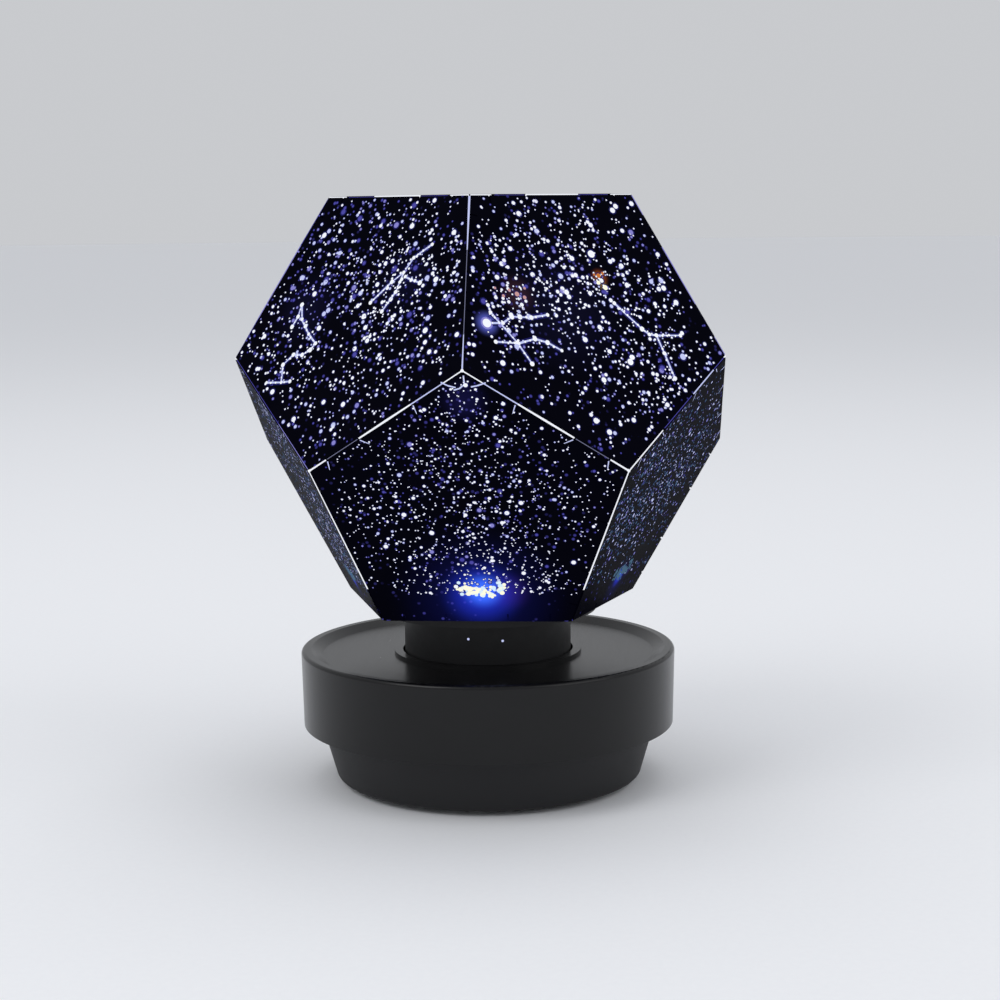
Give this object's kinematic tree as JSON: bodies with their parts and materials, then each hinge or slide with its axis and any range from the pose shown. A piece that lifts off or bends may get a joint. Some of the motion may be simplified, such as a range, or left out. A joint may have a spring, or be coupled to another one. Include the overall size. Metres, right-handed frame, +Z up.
{
  "type": "planetarium projector",
  "caption": "Desk planetarium: a dodecahedral star ball of printed film panels that turns on a round motor base with push buttons and a charging socket at the back.",
  "frame": {"origin": "centre of the base's footprint, on the surface that its rubber feet stand on", "axes": "+Z up along the turning axis; -Y towards the viewer, with the buttons at the back (+Y)"},
  "size_m": [0.1462, 0.1538, 0.1817],
  "materials": {
    "printed_film": "satin printed film",
    "shell_plastic": "gloss moulded",
    "pan_plastic": "fine spark texture",
    "hub_plastic": "satin moulded",
    "button_plastic": "satin moulded",
    "foot_rubber": "matt",
    "screw_steel": "zinc plated",
    "spring_steel": "blued",
    "column_aluminium": "turned",
    "lamp_board": "white solder mask",
    "lamp_body": "phosphor",
    "lamp_lens": "clear",
    "white_nylon": "moulded",
    "motor_can": "plated",
    "cell_wrap": "shrink film",
    "contact_nickel": "nickel plated",
    "circuit_board": "solder mask",
    "board_black": "moulded epoxy",
    "wire_red": "insulation",
    "wire_black": "insulation"
  },
  "bodies": {
    "base": {"base_pan": "pan_plastic", "base_shell": "shell_plastic", "battery_cell": "cell_wrap", "battery_clips": "contact_nickel", "battery_wires": "wire_red", "board_parts": "board_black", "board_screws": "screw_steel", "column_screws": "screw_steel", "gear_motor": "motor_can", "housing_screws": "screw_steel", "hub_circlip": "spring_steel", "key_board": "circuit_board", "key_switches": "board_black", "key_wires": "wire_black", "led_board": "lamp_board", "led_column": "column_aluminium", "led_emitter": "lamp_body", "led_lens": "lamp_lens", "led_wires": "wire_red", "main_board": "circuit_board", "motor_screws": "screw_steel", "motor_wires": "wire_black", "rubber_feet": "foot_rubber", "thrust_washer": "white_nylon", "usb_inlet": "contact_nickel"},
    "turntable": {"turntable_gear": "white_nylon", "turntable_hub": "hub_plastic", "hub_bush": "white_nylon", "gear_screws": "screw_steel", "ball_ring": "hub_plastic", "ball_rivets": "hub_plastic", "panel_bottom": "printed_film", "panel_lower_1": "printed_film", "panel_lower_2": "printed_film", "panel_lower_3": "printed_film", "panel_lower_4": "printed_film", "panel_lower_5": "printed_film", "panel_top": "printed_film", "panel_upper_1": "printed_film", "panel_upper_2": "printed_film", "panel_upper_3": "printed_film", "panel_upper_4": "printed_film", "panel_upper_5": "printed_film"},
    "pinion": {"motor_shaft": "spring_steel", "drive_pinion": "white_nylon"},
    "light_key": {"light_button": "button_plastic"},
    "colour_key": {"colour_button": "button_plastic"},
    "rotate_key": {"rotate_button": "button_plastic"}
  },
  "joints": [
    {"name": "turntable_spin", "type": "hinge", "parent": "base", "child": "turntable", "pos_m": [0, 0, 0.04], "axis": [0, 0, 1], "continuous": true},
    {"name": "pinion_spin", "type": "hinge", "parent": "base", "child": "pinion", "pos_m": [-0.02499, 0.02499, 0.033], "axis": [0, 0, 1], "continuous": true},
    {"name": "light_press", "type": "slide", "parent": "base", "child": "light_key", "axis": [0, -1, 0], "range_m": [0, 0.0008], "stiffness_N_per_m": 500, "springref_m": -0.001},
    {"name": "colour_press", "type": "slide", "parent": "base", "child": "colour_key", "axis": [0, -1, 0], "range_m": [0, 0.0008], "stiffness_N_per_m": 500, "springref_m": -0.001},
    {"name": "rotate_press", "type": "slide", "parent": "base", "child": "rotate_key", "axis": [0, -1, 0], "range_m": [0, 0.0008], "stiffness_N_per_m": 500, "springref_m": -0.001}
  ],
  "couplings": [
    {"joint": "pinion_spin", "follows": "turntable_spin", "ratio": -4.5}
  ]
}
